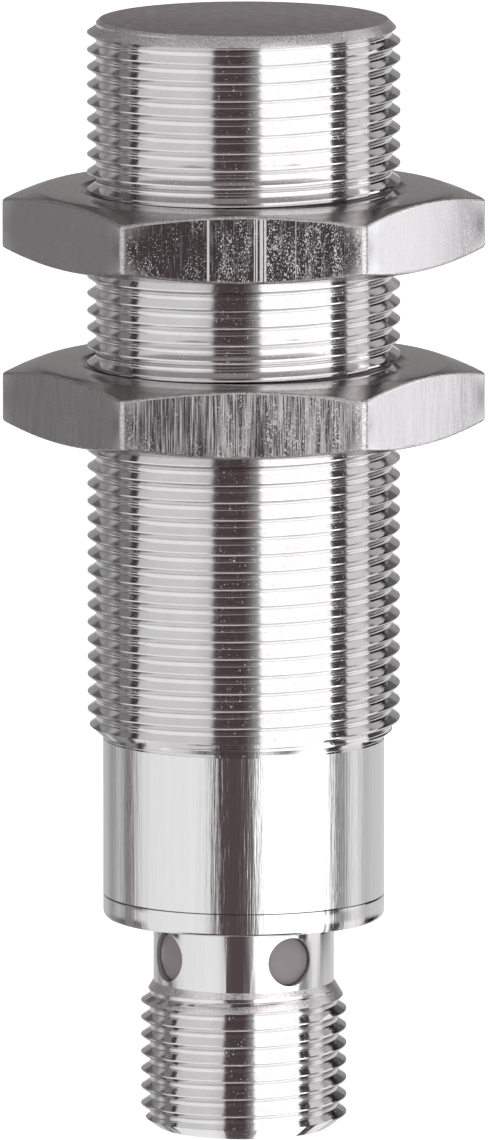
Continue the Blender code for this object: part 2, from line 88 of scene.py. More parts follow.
# Barrel, as depths below the sensing face
FACE_RADIUS = 8.25 * MM
THREAD_TOP = 0.7 * MM
THREAD_BOTTOM = 40.55 * MM
SHANK_TOP = 41.3 * MM
BORE_RADIUS = 7.5 * MM
FACE_WALL = 0.8 * MM

# Connector shell, as depths below the sensing face
SPIGOT_TOP = -SHELL_HIGH.z
SPIGOT_RADIUS = 7.4 * MM
SPIGOT_BORE = 6.2 * MM
FLANGE_TOP = BARREL_END + 0.03 * MM
FLANGE_END = 51.8 * MM
FLANGE_ROUNDING = 0.4 * MM
NECK_RADIUS = 5.18 * MM
NECK_FILLET = 0.7 * MM
NECK_END = 55.45 * MM
PLUG_THREAD_TOP = 56.7 * MM
PLUG_THREAD_BOTTOM = 63.3 * MM
RIM_RADIUS = 4.9 * MM
SOCKET_RADIUS = 4.45 * MM
KEY_ANGLE = math.radians(45.0)
KEY_WIDTH = 1.1 * MM
KEY_HEIGHT = 0.7 * MM
KEY_END = 62.4 * MM

# Light guide, contact carrier and pins
WINDOW_DEPTH = 53.8 * MM
WINDOW_RADIUS = 1.4 * MM
WINDOW_RECESS = 0.3 * MM
FIRST_WINDOW_ANGLE = math.radians(-58.5)
GUIDE_INNER = 3.6 * MM
GUIDE_LEG_CIRCLE = 3.98 * MM
GUIDE_LEG_RADIUS = 0.42 * MM
PIN_CIRCLE = 2.83 * MM
PIN_RADIUS = 0.5 * MM

# Lock nuts
NUT_CHAMFER_RADIUS = 11.7 * MM
NUT_CHAMFER_ANGLE = math.radians(16.5)
NUT_CORNER_ROUNDING = 0.5 * MM
NUT_EDGE_WEAR = 0.12 * MM
NUT_WEAR_SPREAD = 0.35  # share of the wear that comes and goes along the edge
NUT_WEAR_GRAIN = 1.8 / MM
NUT_MINOR_RADIUS = 8.5 * MM
NUT_COUNTERSINK_RADIUS = 9.4 * MM
NUT_EDGE_RADIUS = 11.8 * MM  # beyond it, all that slopes and isn't a flat counts as worn edge
NUT_FLAT_RADIUS = 11.9 * MM  # only what lies beyond it can count as a flat

# Camera: its place, the height of the frame at the sensor, and the width of its film in mm
CAMERA_DISTANCE = 1.25
CAMERA_ELEVATION = math.radians(8.45)
CAMERA_TARGET = Vector((0.33 * MM, 0.0, -31.78 * MM))
FRAME_HEIGHT = 65.25 * MM
FILM_WIDTH = 36.0


# ---------------------------------------------------------------- meshes


def add_mesh(name, bm):
    bmesh.ops.recalc_face_normals(bm, faces=bm.faces)
    mesh = bpy.data.meshes.new(name)
    bm.to_mesh(mesh)
    bm.free()
    obj = bpy.data.objects.new(name, mesh)
    bpy.context.scene.collection.objects.link(obj)
    return obj


def smooth(obj, angle=35.0):
    obj.data.shade_smooth()
    obj.data.set_sharp_from_angle(angle=math.radians(angle))
    return obj


def turned(name, profile, segments):
    """A body turned about Z from (radius, depth) points, closed at the axis or into a ring."""
    bm = bmesh.new()
    verts = [bm.verts.new((radius, 0.0, -depth)) for radius, depth in profile]
    edges = [bm.edges.new(pair) for pair in zip(verts, verts[1:])]
    if profile[0][0] > 0.0:
        edges.append(bm.edges.new((verts[-1], verts[0])))
    bmesh.ops.spin(
        bm,
        geom=verts + edges,
        cent=(0.0, 0.0, 0.0),
        axis=(0.0, 0.0, 1.0),
        angle=2.0 * math.pi,
        steps=segments,
        use_merge=True,
    )
    bmesh.ops.remove_doubles(bm, verts=bm.verts, dist=MERGE_DISTANCE)
    return add_mesh(name, bm)


def arc(radius, depth, size, start, end, steps=6):
    """Profile points on a circle, by angles in degrees: 0 points outwards and 90 points down."""
    turns = [math.radians(start + (end - start) * i / steps) for i in range(steps + 1)]
    return [(radius + size * math.cos(turn), depth + size * math.sin(turn)) for turn in turns]


def around(radius, angle, depth):
    return Vector((radius * math.cos(angle), radius * math.sin(angle), -depth))


def cylinder(name, radius, start, end, segments=64):
    start, end = Vector(start), Vector(end)
    along = end - start
    turn = along.to_track_quat("Z", "Y").to_matrix().to_4x4()
    bm = bmesh.new()
    bmesh.ops.create_cone(
        bm,
        cap_ends=True,
        segments=segments,
        radius1=radius,
        radius2=radius,
        depth=along.length,
        matrix=Matrix.Translation((start + end) / 2.0) @ turn,
    )
    return add_mesh(name, bm)


def combine(target, operation, tool):
    """Applies a Boolean to the target with a tool that is then thrown away."""
    modifier = target.modifiers.new(operation, "BOOLEAN")
    modifier.operation = operation
    modifier.solver = "MANIFOLD"
    modifier.object = tool
    bpy.context.view_layer.update()
    graph = bpy.context.evaluated_depsgraph_get()
    made = bpy.data.meshes.new_from_object(target.evaluated_get(graph))
    target.modifiers.clear()
    target.data = made
    bpy.data.objects.remove(tool)
    return target


def thread_form():
    """One pitch of a 60 degree thread, root to root: (share of the pitch, share of the depth)."""
    half = [(0.0, 0.0), (0.09, 0.0), (0.125, 0.04), (0.16, 0.13), (0.285, 0.48), (0.41, 0.84)]
    half += [(0.438, 0.935), (0.465, 1.0)]
    return half + [(1.0 - share, depth) for share, depth in reversed(half[1:])]


def threaded_rod(name, crest, root, top, bottom, drop, columns):
    """A right-handed screw that covers two heights, to be cut to shape. Its mesh lines follow the
    helix: one turn on, a column is the first one again, one pitch higher."""
    form = thread_form()
    per_turn = len(form)
    start = (math.ceil(top / PITCH) + 1.5) * PITCH - drop
    rows = math.ceil((start - bottom) / PITCH + 2.0) * per_turn + 1
    shares = np.array([form[i % per_turn][0] + i // per_turn for i in range(rows)])
    depths = np.array([form[i % per_turn][1] for i in range(rows)])
    radii = root + (crest - root) * depths
    angles = np.arange(columns) * 2.0 * math.pi / columns
    heights = start - shares[:, None] * PITCH + PITCH * angles[None, :] / (2.0 * math.pi)
    x = radii[:, None] * np.cos(angles)[None, :]
    y = radii[:, None] * np.sin(angles)[None, :]
    points = np.stack([x, y, heights], axis=-1).reshape(-1, 3)

    def at(row, column):
        return (row - per_turn) * columns if column == columns else row * columns + column

    faces = []
    for row in range(rows - 1):
        last = columns if row >= per_turn else columns - 1
        for column in range(last):
            beside = column + 1
            faces.append((at(row, column), at(row + 1, column), at(row + 1, beside), at(row, beside)))
    end = rows - 1
    top_loop = [at(0, column) for column in range(columns)]
    top_loop += [at(row, columns - 1) for row in range(1, per_turn + 1)]
    bottom_loop = [at(end, column) for column in range(columns)]
    bottom_loop += [at(row, 0) for row in range(end - per_turn, end)]
    points = [tuple(p) for p in points.tolist()]
    for loop, height in ((top_loop, heights.max() + PITCH), (bottom_loop, heights.min() - PITCH)):
        centre = len(points)
        points.append((0.0, 0.0, height))
        faces += [(centre, a, b) for a, b in zip(loop, loop[1:] + loop[:1])]
    mesh = bpy.data.meshes.new(name)
    mesh.from_pydata(points, [], faces)
    bm = bmesh.new()
    bm.from_mesh(mesh)
    bpy.data.meshes.remove(mesh)
    return add_mesh(name, bm)


# ---------------------------------------------------------------- pieces


def make_barrel():
    """The barrel as a closed cup: threaded head, smooth shank, bore from the rear."""
    edge = 0.04 * MM
    head_profile = [
        (0.0, 0.0),
        (FACE_RADIUS - edge, 0.0),
        (FACE_RADIUS + 0.4 * edge, 0.4 * edge),
        (THREAD_RADIUS, THREAD_TOP),
        (THREAD_RADIUS + edge, THREAD_TOP + edge),
        (THREAD_RADIUS + edge, THREAD_BOTTOM - edge),
        (SHANK_RADIUS - edge, SHANK_TOP + edge),
        (0.0, SHANK_TOP + edge),
    ]
    barrel = turned("barrel", head_profile, 120)
    root = THREAD_RADIUS - THREAD_DEPTH
    rod = threaded_rod("rod", THREAD_RADIUS, root, 0.0, -THREAD_BOTTOM - PITCH, BARREL_THREAD_DROP, 120)
    combine(barrel, "INTERSECT", rod)
    groove = 0.05 * MM
    shank_profile = [
        (0.0, THREAD_BOTTOM),
        (SHANK_RADIUS, THREAD_BOTTOM),
        (SHANK_RADIUS, SHANK_TOP + groove),
        (SHANK_RADIUS - groove, SHANK_TOP + 2.0 * groove),
        (SHANK_RADIUS, SHANK_TOP + 3.0 * groove),
        (SHANK_RADIUS, BARREL_END - edge),
        (SHANK_RADIUS - edge, BARREL_END),
        (0.0, BARREL_END),
    ]
    combine(barrel, "UNION", turned("shank", shank_profile, 120))
    bore = cylinder("bore", BORE_RADIUS, (0, 0, -FACE_WALL), (0, 0, -LENGTH), 96)
    combine(barrel, "DIFFERENCE", bore)
    return smooth(barrel)


def make_connector_shell():
    """Spigot, flange and neck, with the plug's thread, its coding key and the four windows."""
    edge = 0.05 * MM
    head_profile = [
        (0.0, NECK_END - 0.5 * MM),
        (NECK_RADIUS - edge, NECK_END - 0.5 * MM),
        (NECK_RADIUS - edge, NECK_END - edge),
        (PLUG_RADIUS + edge, PLUG_THREAD_TOP + edge),
        (PLUG_RADIUS + edge, PLUG_THREAD_BOTTOM - edge),
        (RIM_RADIUS + edge, LENGTH - edge),
        (RIM_RADIUS - edge, LENGTH),
        (0.0, LENGTH),
    ]
    shell = turned("shell", head_profile, 96)
    root = PLUG_RADIUS - THREAD_DEPTH
    top, bottom = -NECK_END + 2.0 * PITCH, -LENGTH - PITCH
    rod = threaded_rod("rod", PLUG_RADIUS, root, top, bottom, PLUG_THREAD_DROP, 96)
    combine(shell, "INTERSECT", rod)
    groove_top, groove_bottom, groove = 47.2 * MM, 48.6 * MM, 0.8 * MM
    body_profile = [
        (0.0, SPIGOT_TOP),
        (SPIGOT_RADIUS - 0.2 * MM, SPIGOT_TOP),
        (SPIGOT_RADIUS, SPIGOT_TOP + 0.2 * MM),
        (SPIGOT_RADIUS, groove_top),
        (SPIGOT_RADIUS - groove, groove_top),
        (SPIGOT_RADIUS - groove, groove_bottom),
        (SPIGOT_RADIUS, groove_bottom),
        (SPIGOT_RADIUS, FLANGE_TOP),
        *arc(SHANK_RADIUS - edge, FLANGE_TOP + edge, edge, -90, 0, 3),
        *arc(SHANK_RADIUS - FLANGE_ROUNDING, FLANGE_END - FLANGE_ROUNDING, FLANGE_ROUNDING, 0, 90),
        *arc(NECK_RADIUS + NECK_FILLET, FLANGE_END + NECK_FILLET, NECK_FILLET, -90, -180, 8),
        (NECK_RADIUS, NECK_END + 0.1 * MM),
        (0.0, NECK_END + 0.1 * MM),
    ]
    combine(shell, "UNION", turned("body", body_profile, 96))
    beyond = 2.0 * MM
    socket = [
        (0.0, SPIGOT_TOP - beyond),
        (SPIGOT_BORE, SPIGOT_TOP - beyond),
        (SPIGOT_BORE, BARREL_END + 0.1 * MM),
        (SOCKET_RADIUS, BARREL_END + 0.1 * MM),
        (SOCKET_RADIUS, LENGTH - 0.15 * MM),
        (SOCKET_RADIUS + 0.15 * MM + beyond, LENGTH + beyond),
        (0.0, LENGTH + beyond),
    ]
    combine(shell, "DIFFERENCE", turned("socket", socket, 96))
    combine(shell, "UNION", make_coding_key())
    for angle in window_angles():
        ends = around(GUIDE_INNER, angle, WINDOW_DEPTH), around(2.0 * NECK_RADIUS, angle, WINDOW_DEPTH)
        combine(shell, "DIFFERENCE", cylinder("hole", WINDOW_RADIUS, *ends))
    return smooth(shell, 28.0)


def make_coding_key():
    """The rib in the plug's bore that stops a socket from being turned the wrong way."""
    top = -CARRIER_LOW.z + 0.05 * MM
    inner, outer = SOCKET_RADIUS - KEY_HEIGHT, SOCKET_RADIUS + 0.2 * MM
    middle = around((inner + outer) / 2.0, KEY_ANGLE, (top + KEY_END) / 2.0)
    size = Matrix.Diagonal((outer - inner, KEY_WIDTH, KEY_END - top, 1.0))
    bm = bmesh.new()
    place = Matrix.Translation(middle) @ Matrix.Rotation(KEY_ANGLE, 4, "Z")
    bmesh.ops.create_cube(bm, size=1.0, matrix=place @ size)
    bmesh.ops.bevel(bm, geom=bm.edges[:], offset=0.12 * MM, segments=3, affect="EDGES", profile=0.5)
    return add_mesh("key", bm)


def window_angles():
    return [FIRST_WINDOW_ANGLE + i * math.pi / 2.0 for i in range(4)]


def pin_angles():
    return [i * math.pi / 2.0 for i in range(4)]


def make_light_guide():
    """A frosted ring in the neck, with a slightly domed lens in each window and legs to the LEDs."""
    low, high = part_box("light_guide")
    outer, leg_end, ring_end = SOCKET_RADIUS - 0.05 * MM, -high.z, -low.z
    ring_top = BARREL_END + 0.75 * MM
    edge = 0.1 * MM
    ring = [
        (GUIDE_INNER, ring_top),
        (outer - edge, ring_top),
        (outer, ring_top + edge),
        (outer, ring_end - edge),
        (outer - edge, ring_end),
        (GUIDE_INNER, ring_end),
    ]
    guide = turned("guide", ring, 96)
    for angle in window_angles():
        leg = around(GUIDE_LEG_CIRCLE, angle, ring_top + edge), around(GUIDE_LEG_CIRCLE, angle, leg_end)
        combine(guide, "UNION", cylinder("leg", GUIDE_LEG_RADIUS, *leg, 24))
        combine(guide, "UNION", make_lens(angle))
    return smooth(guide)


def make_lens(angle):
    """The lens of one window, a disc with a domed front that points along the angle."""
    radius = WINDOW_RADIUS - 0.01 * MM
    front = NECK_RADIUS - WINDOW_RECESS
    dome = 0.18 * MM
    back = GUIDE_INNER + 0.3 * MM
    rise = [(math.sin(turn), math.cos(turn)) for turn in (math.radians(90.0 * i / 8) for i in range(9))]
    profile = [(radius * across, -(front + dome * (up - 1.0))) for across, up in rise]
    profile += [(radius, -back), (0.0, -back)]
    lens = turned("lens", profile, 48)
    turn = Matrix.Rotation(angle, 4, "Z") @ Matrix.Rotation(math.pi / 2.0, 4, "Y")
    lens.data.transform(Matrix.Translation((0.0, 0.0, -WINDOW_DEPTH)) @ turn)
    return lens


def make_carrier():
    """The insulator in the plug: flange with a seal groove, collar, and a boss round each pin."""
    top, floor = -CARRIER_HIGH.z, -CARRIER_LOW.z
    flange, collar, foot = CARRIER_HIGH.x, GUIDE_INNER - 0.1 * MM, SOCKET_RADIUS - 0.08 * MM
    flange_end, foot_top = top + 2.4 * MM, floor - 0.9 * MM
    groove_top, groove_bottom = 48.6 * MM, 49.6 * MM
    groove, edge, boss = 0.8 * MM, 0.12 * MM, 0.12 * MM
    profile = [
        (0.0, top),
        (flange - edge, top),
        (flange, top + edge),
        (flange, groove_top),
        (flange - groove, groove_top),
        (flange - groove, groove_bottom),
        (flange, groove_bottom),
        (flange, flange_end),
        (collar, flange_end),
        (collar, foot_top),
        (foot, foot_top),
        (foot, floor - boss - edge),
        (foot - edge, floor - boss),
        (0.0, floor - boss),
    ]
    carrier = turned("carrier", profile, 96)
    for angle in pin_angles():
        seat = [
            (0.0, floor - 0.6 * MM),
            (PIN_RADIUS + 0.4 * MM, floor - 0.6 * MM),
            (PIN_RADIUS + 0.32 * MM, floor - 0.04 * MM),
            (PIN_RADIUS + 0.28 * MM, floor),
            (0.0, floor),
        ]
        raised = turned("boss", seat, 32)
        raised.data.transform(Matrix.Translation(around(PIN_CIRCLE, angle, 0.0)))
        combine(carrier, "UNION", raised)
    for angle in pin_angles():
        ends = around(PIN_CIRCLE, angle, top - MM), around(PIN_CIRCLE, angle, floor + MM)
        combine(carrier, "DIFFERENCE", cylinder("hole", PIN_RADIUS + 0.02 * MM, *ends, 32))
    for angle in window_angles():
        above = around(GUIDE_LEG_CIRCLE, angle, top - MM)
        below = around(GUIDE_LEG_CIRCLE, angle, flange_end + 0.5 * MM)
        combine(carrier, "DIFFERENCE", cylinder("hole", GUIDE_LEG_RADIUS + 0.03 * MM, above, below, 24))
    return smooth(carrier)


def make_pin(name, cad_node, angle):
    """A turned contact pin with a wire shoulder and a rounded tip."""
    low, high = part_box(cad_node)
    top, tip = -high.z, -low.z
    shoulder_end = -CARRIER_HIGH.z - 0.1 * MM
    edge = 0.08 * MM
    profile = [
        (0.0, top),
        (1.4 * PIN_RADIUS - edge, top),
        (1.4 * PIN_RADIUS, top + edge),
        (1.4 * PIN_RADIUS, shoulder_end - edge),
        (1.4 * PIN_RADIUS - edge, shoulder_end),
        (PIN_RADIUS, shoulder_end),
        *arc(0.0, tip - PIN_RADIUS, PIN_RADIUS, 0, 90, 10),
    ]
    pin = turned(name, profile, 48)
    pin.data.transform(Matrix.Translation(around(PIN_CIRCLE, angle, 0.0)))
    return smooth(pin)


def hexagon_outline(apothem, rounding):
    """Points round a hexagon with rounded corners, one of them on +X."""
    flat_steps, corner_steps = 14, 4
    reach = (apothem - rounding) / math.cos(math.radians(30))
    corners = []
    for side in range(6):
        middle = math.radians(60 * side)
        centre = Vector((math.cos(middle), math.sin(middle))) * reach
        swing = [math.radians(-30 + 60 * i / corner_steps) for i in range(corner_steps + 1)]
        turns = [middle + part for part in swing]
        corners.append([centre + rounding * Vector((math.cos(t), math.sin(t))) for t in turns])
    outline = []
    for here, following in zip(corners, corners[1:] + corners[:1]):
        outline += here
        outline += [here[-1].lerp(following[0], i / flat_steps) for i in range(1, flat_steps)]
    return outline


def make_nut(name, cad_node):
    """A hexagonal nut with coned ends, worn edges, a countersink and a real internal thread."""
    low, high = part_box(cad_node)
    middle, half = (low.z + high.z) / 2.0, (high.z - low.z) / 2.0
    slope = math.tan(NUT_CHAMFER_ANGLE)
    sink = NUT_COUNTERSINK_RADIUS - NUT_MINOR_RADIUS
    edge = 0.03 * MM
    columns = []
    for point in hexagon_outline(high.y, NUT_CORNER_ROUNDING):
        outer = point.length
        direction = point / outer
        brim = half - (outer - NUT_CHAMFER_RADIUS) * slope

        def section(side):
            place = Vector((point.x, point.y, middle + side * half)) * NUT_WEAR_GRAIN
            wear = NUT_EDGE_WEAR * (1.0 + NUT_WEAR_SPREAD * noise.noise(place))
            return [
                (NUT_MINOR_RADIUS, half - sink),
                (NUT_COUNTERSINK_RADIUS - edge, half - edge),
                (NUT_COUNTERSINK_RADIUS + edge, half),
                (NUT_CHAMFER_RADIUS - 2.0 * edge, half),
                (NUT_CHAMFER_RADIUS + 2.0 * edge, half - 2.0 * edge * slope),
                (outer - wear, brim + wear * slope),
                (outer - 0.3 * wear, brim - 0.25 * wear),
                (outer, brim - wear),
            ]

        rim = section(1.0) + [(radius, -height) for radius, height in reversed(section(-1.0))]
        columns.append([(direction.x * r, direction.y * r, middle + z) for r, z in rim])
    bm = bmesh.new()
    grid = [[bm.verts.new(p) for p in column] for column in columns]
    for here, following in zip(grid, grid[1:] + grid[:1]):
        for i in range(len(here)):
            after = (i + 1) % len(here)
            bm.faces.new((here[i], following[i], following[after], here[after]))
    nut = add_mesh(name, bm)
    crest, root = THREAD_RADIUS + THREAD_FIT, THREAD_RADIUS - THREAD_DEPTH + THREAD_FIT
    rod = threaded_rod("rod", crest, root, high.z + PITCH, low.z - PITCH, BARREL_THREAD_DROP, 120)
    combine(nut, "DIFFERENCE", rod)
    return smooth(nut, 20.0)


# ---------------------------------------------------------------- materials


class Nodes:
    """Short forms for building a node tree."""

    def __init__(self, tree):
        self.tree = tree

    def add(self, kind, **settings):
        node = self.tree.nodes.new(kind)
        for key, value in settings.items():
            setattr(node, key, value)
        return node

    def feed(self, socket, value):
        if isinstance(value, bpy.types.NodeSocket):
            self.tree.links.new(value, socket)
        else:
            socket.default_value = value

    def vector(self, operation, first, second=None, scale=None):
        node = self.add("ShaderNodeVectorMath", operation=operation)
        self.feed(node.inputs[0], first)
        if second is not None:
            self.feed(node.inputs[1], second)
        if scale is not None:
            self.feed(node.inputs["Scale"], scale)
        return node.outputs[0]

    def math(self, operation, first, second=0.0, clamp=False):
        node = self.add("ShaderNodeMath", operation=operation, use_clamp=clamp)
        self.feed(node.inputs[0], first)
        self.feed(node.inputs[1], second)
        return node.outputs[0]

    def noise(self, place, scale, detail=2.0, roughness=0.5):
        node = self.add("ShaderNodeTexNoise")
        self.feed(node.inputs["Vector"], place)
        self.feed(node.inputs["Scale"], scale)
        self.feed(node.inputs["Detail"], detail)
        self.feed(node.inputs["Roughness"], roughness)
        return node.outputs["Fac"]

    def between(self, value, low, high, to_low=0.0, to_high=1.0, shape="LINEAR"):
        node = self.add("ShaderNodeMapRange", interpolation_type=shape)
        for socket, number in zip(node.inputs[:5], (value, low, high, to_low, to_high)):
            self.feed(socket, number)
        return node.outputs[0]

    def mix(self, share, first, second):
        node = self.add("ShaderNodeMix", data_type="RGBA")
        self.feed(node.inputs[0], share)
        self.feed(node.inputs[6], (*first, 1.0) if isinstance(first, tuple) else first)
        self.feed(node.inputs[7], (*second, 1.0) if isinstance(second, tuple) else second)
        return node.outputs[2]

    def split(self, vector):
        node = self.add("ShaderNodeSeparateXYZ")
        self.feed(node.inputs[0], vector)
        return node.outputs[:3]

    def joined(self, x, y, z=0.0):
        node = self.add("ShaderNodeCombineXYZ")
        for socket, value in zip(node.inputs, (x, y, z)):
            self.feed(socket, value)
        return node.outputs[0]


class Finish(Nodes):
    """A material under construction, with places in millimetres."""

    def __init__(self, name):
        self.material = bpy.data.materials.new(name)
        self.material.use_nodes = True
        super().__init__(self.material.node_tree)
        self.shader = self.tree.nodes["Principled BSDF"]
        where = self.add("ShaderNodeTexCoord")
        self.millimetres = self.vector("SCALE", where.outputs["Object"], scale=1.0 / MM)

    def bump(self, height, depth, normal=None):
        """Height runs from 0 to 1 and stands for a real depth in metres."""
        node = self.add("ShaderNodeBump")
        self.feed(node.inputs["Strength"], 1.0)
        self.feed(node.inputs["Distance"], depth)
        self.feed(node.inputs["Height"], height)
        if normal is not None:
            self.feed(node.inputs["Normal"], normal)
        return node.outputs["Normal"]

    def wrapped_noise(self, round_scale, along_scale, detail, roughness=0.5):
        """Noise of places wrapped round the barrel, with one scale round it and one along it."""
        x, y, height = self.split(self.millimetres)
        girth = self.math("MULTIPLY", self.math("ARCTAN2", y, x), SHANK_RADIUS / MM)
        place = self.joined(
            self.math("MULTIPLY", girth, round_scale),
            self.math("MULTIPLY", height, along_scale),
        )
        return self.noise(place, 1.0, detail, roughness)

    def ring_mark(self, centre, radius, width):
        """A faint round scuff on the sensing face, 1 on its line and 0 away from it."""
        x, y = self.split(self.millimetres)[:2]
        place = self.joined(self.math("SUBTRACT", x, centre[0]), self.math("SUBTRACT", y, centre[1]))
        away = self.math("ABSOLUTE", self.math("SUBTRACT", self.vector("LENGTH", place), radius))
        broken = self.between(self.noise(self.millimetres, 1.6), 0.45, 0.6)
        return self.math("MULTIPLY", self.between(away, 0.0, width, 1.0, 0.0), broken)

    def set(self, **values):
        for key, value in values.items():
            self.feed(self.shader.inputs[key.replace("_", " ")], value)


# Colours. A pair of tones is mixed unevenly
STEEL = (0.785, 0.785, 0.79)
SOILED_STEEL = (0.72, 0.70, 0.705)
BRIGHT_SCRATCH = (0.86, 0.85, 0.85)
CHAMFER_TONES = (0.62, 0.60, 0.61), (0.95, 0.94, 0.95)
FACE_TONES = (0.52, 0.47, 0.485), (0.44, 0.395, 0.415)
FACE_SCUFF = (0.68, 0.65, 0.66)
NUT_EDGE_TONES = (0.36, 0.34, 0.34), (0.74, 0.72, 0.72)
NUT_FACE_TONES = (0.52, 0.50, 0.50), (0.42, 0.40, 0.40)
NUT_FLAT = (0.295, 0.275, 0.285)
NUT_FLAT_MARK = (0.90, 0.90, 0.905)
WINDOW_TONES = (0.205, 0.184, 0.190), (0.245, 0.219, 0.226)

# Plainer finishes, by material slot: colour, roughness and whether it is metal
PLAIN_FINISHES = {
    "black_plastic": ((0.03, 0.03, 0.032), 0.5, 0.0),
    "gold_plating": ((0.83, 0.62, 0.28), 0.22, 1.0),
    "seal_rubber": ((0.02, 0.02, 0.02), 0.75, 0.0),
    "ferrite": ((0.06, 0.06, 0.065), 0.55, 0.0),
    "white_plastic": ((0.75, 0.73, 0.68), 0.5, 0.0),
    "enamelled_copper": ((0.62, 0.27, 0.12), 0.35, 1.0),
    "screen_brass": ((0.72, 0.55, 0.27), 0.35, 1.0),
    "board_laminate": ((0.03, 0.18, 0.08), 0.4, 0.0),
    "insulating_film": ((0.70, 0.58, 0.30), 0.35, 0.0),
    "chip_resin": ((0.04, 0.04, 0.045), 0.5, 0.0),
    "capacitor_ceramic": ((0.48, 0.33, 0.20), 0.5, 0.0),
    "potting_resin": ((0.05, 0.05, 0.06), 0.45, 0.0),
    "led_lens": ((0.80, 0.68, 0.25), 0.3, 0.0),
    "wire_brown": ((0.20, 0.09, 0.04), 0.45, 0.0),
    "wire_white": ((0.80, 0.80, 0.78), 0.45, 0.0),
    "wire_blue": ((0.05, 0.16, 0.50), 0.45, 0.0),
    "wire_black": ((0.02, 0.02, 0.02), 0.45, 0.0),
}


def turned_steel():
    """Lathe-turned stainless steel: fine rings along the thread and small bright nicks."""
    g = Finish("turned_steel")
    rings = g.wrapped_noise(0.05, 14.0, 3.0)
    specks = g.noise(g.millimetres, 6.5, 3.0, 0.6)
    nicks = g.between(specks, 0.67, 0.73)
    tone = g.noise(g.millimetres, 0.6, 2.0)
    dullness = g.between(specks, 0.3, 0.67, 0.05, 0.1)
    normal = g.bump(nicks, 0.006 * MM, g.bump(rings, 0.0012 * MM))
    g.set(
        Base_Color=g.mix(nicks, g.mix(tone, STEEL, SOILED_STEEL), BRIGHT_SCRATCH),
        Metallic=1.0,
        Roughness=g.math("ADD", dullness, g.math("MULTIPLY", nicks, 0.25)),
        Normal=normal,
    )
    return g.material


def drawn_steel(name, depth, dullness):
    """Smooth steel, with uneven streaks drawn along the barrel to a depth, and a fine grain."""
    g = Finish(name)
    streaks = g.wrapped_noise(3.4, 0.1, 4.0, 0.6)
    grain = g.wrapped_noise(9.0, 2.5, 2.0)
    normal = g.bump(grain, 0.0012 * MM, g.bump(streaks, depth))
    g.set(
        Base_Color=g.mix(streaks, STEEL, SOILED_STEEL),
        Metallic=1.0,
        Roughness=g.between(streaks, 0.3, 0.7, 0.05 + dullness, 0.12 + dullness),
        Normal=normal,
    )
    return g.material


def face_steel():
    """The sensing face: fine satin, with an uneven tone and a scuff near the middle."""
    g = Finish("face_steel")
    fine = g.noise(g.millimetres, 9.0, 4.0, 0.6)
    broad = g.noise(g.millimetres, 0.5, 2.0)
    scuff = g.ring_mark(centre=(-0.25, -1.6), radius=0.55, width=0.09)
    g.set(
        Base_Color=g.mix(scuff, g.mix(broad, *FACE_TONES), FACE_SCUFF),
        Metallic=1.0,
        Roughness=g.between(fine, 0.3, 0.7, 0.38, 0.48),
        Normal=g.bump(fine, 0.002 * MM),
    )
    return g.material


def nut_face_steel():
    """Turned end faces of the nuts: fine rings round the bore."""
    g = Finish("nut_face_steel")
    radius = g.vector("LENGTH", g.vector("MULTIPLY", g.millimetres, (1.0, 1.0, 0.0)))
    rings = g.noise(g.joined(g.math("MULTIPLY", radius, 6.0), 0.0), 1.0, 3.0, 0.6)
    fine = g.noise(g.millimetres, 4.0, 3.0)
    normal = g.bump(fine, 0.0015 * MM, g.bump(rings, 0.004 * MM))
    g.set(
        Base_Color=g.mix(rings, *NUT_FACE_TONES),
        Metallic=1.0,
        Roughness=g.between(fine, 0.3, 0.7, 0.14, 0.24),
        Normal=normal,
    )
    return g.material


def worn_steel(name, dull, bright):
    """Edges, rounded corners and chamfers, rubbed and uneven, from a dull to a bright colour."""
    g = Finish(name)
    fine = g.noise(g.millimetres, 8.0, 3.0, 0.7)
    g.set(
        Base_Color=g.mix(g.between(fine, 0.35, 0.65), dull, bright),
        Metallic=1.0,
        Roughness=g.between(fine, 0.3, 0.7, 0.25, 0.45),
        Normal=g.bump(fine, 0.006 * MM),
    )
    return g.material


# How much of the front flat's scratches and nicks the other five flats have
OTHER_FLATS_WEAR = 0.3

# Upright marks that a wrench left on the front nut's front flat: middle and half width, in mm
WRENCH_MARKS = [(-2.01, 0.075), (0.61, 0.035), (0.74, 0.05), (1.0, 0.11), (1.22, 0.075), (2.95, 0.02)]


